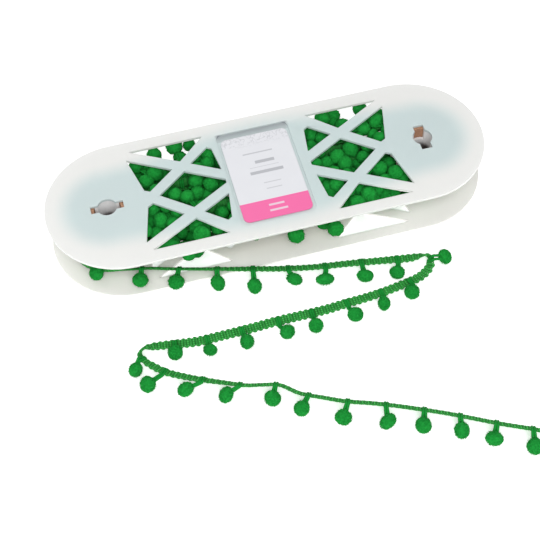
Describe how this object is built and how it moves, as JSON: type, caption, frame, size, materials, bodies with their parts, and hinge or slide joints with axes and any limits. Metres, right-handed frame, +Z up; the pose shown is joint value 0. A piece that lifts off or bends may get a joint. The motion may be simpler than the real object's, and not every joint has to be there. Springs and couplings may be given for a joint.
{
  "type": "pom pom trim on an oblong reel",
  "caption": "Pom pom trim wound on an oblong plastic reel with lattice windows, with a loose length laid out in loops in front of it.",
  "frame": {"origin": "on the surface it rests on, under the middle of the reel", "axes": "+Z up through the two flanges, +X along the reel, the loose trim lies towards -Y"},
  "size_m": [0.226, 0.2172, 0.026],
  "materials": {
    "reel_plastic": "milky translucent moulded plastic with a soft sheen",
    "core_board": "brown kraft board tube",
    "label_card": "smooth white card with a pink band",
    "tape_yarn": "ribbed green gimp braid with looped edges",
    "pompom_yarn": "fuzzy green cut pile"
  },
  "bodies": {
    "root": {"flange_top": "reel_plastic", "flange_bottom": "reel_plastic", "post_left": "reel_plastic", "post_right": "reel_plastic", "core_left": "core_board", "core_right": "core_board", "label": "label_card", "trim_wound": "pompom_yarn", "tape_loose": "tape_yarn", "pompom_01": "pompom_yarn", "pompom_02": "pompom_yarn", "pompom_03": "pompom_yarn", "pompom_04": "pompom_yarn", "pompom_05": "pompom_yarn", "pompom_06": "pompom_yarn", "pompom_07": "pompom_yarn", "pompom_08": "pompom_yarn", "pompom_09": "pompom_yarn", "pompom_10": "pompom_yarn", "pompom_11": "pompom_yarn", "pompom_12": "pompom_yarn", "pompom_13": "pompom_yarn", "pompom_14": "pompom_yarn", "pompom_15": "pompom_yarn", "pompom_16": "pompom_yarn", "pompom_17": "pompom_yarn", "pompom_18": "pompom_yarn", "pompom_19": "pompom_yarn", "pompom_20": "pompom_yarn", "pompom_21": "pompom_yarn", "pompom_22": "pompom_yarn", "pompom_23": "pompom_yarn", "pompom_24": "pompom_yarn", "pompom_25": "pompom_yarn", "pompom_26": "pompom_yarn", "pompom_27": "pompom_yarn", "pompom_28": "pompom_yarn", "pompom_29": "pompom_yarn", "pompom_30": "pompom_yarn", "pompom_31": "pompom_yarn"}
  },
  "joints": []
}
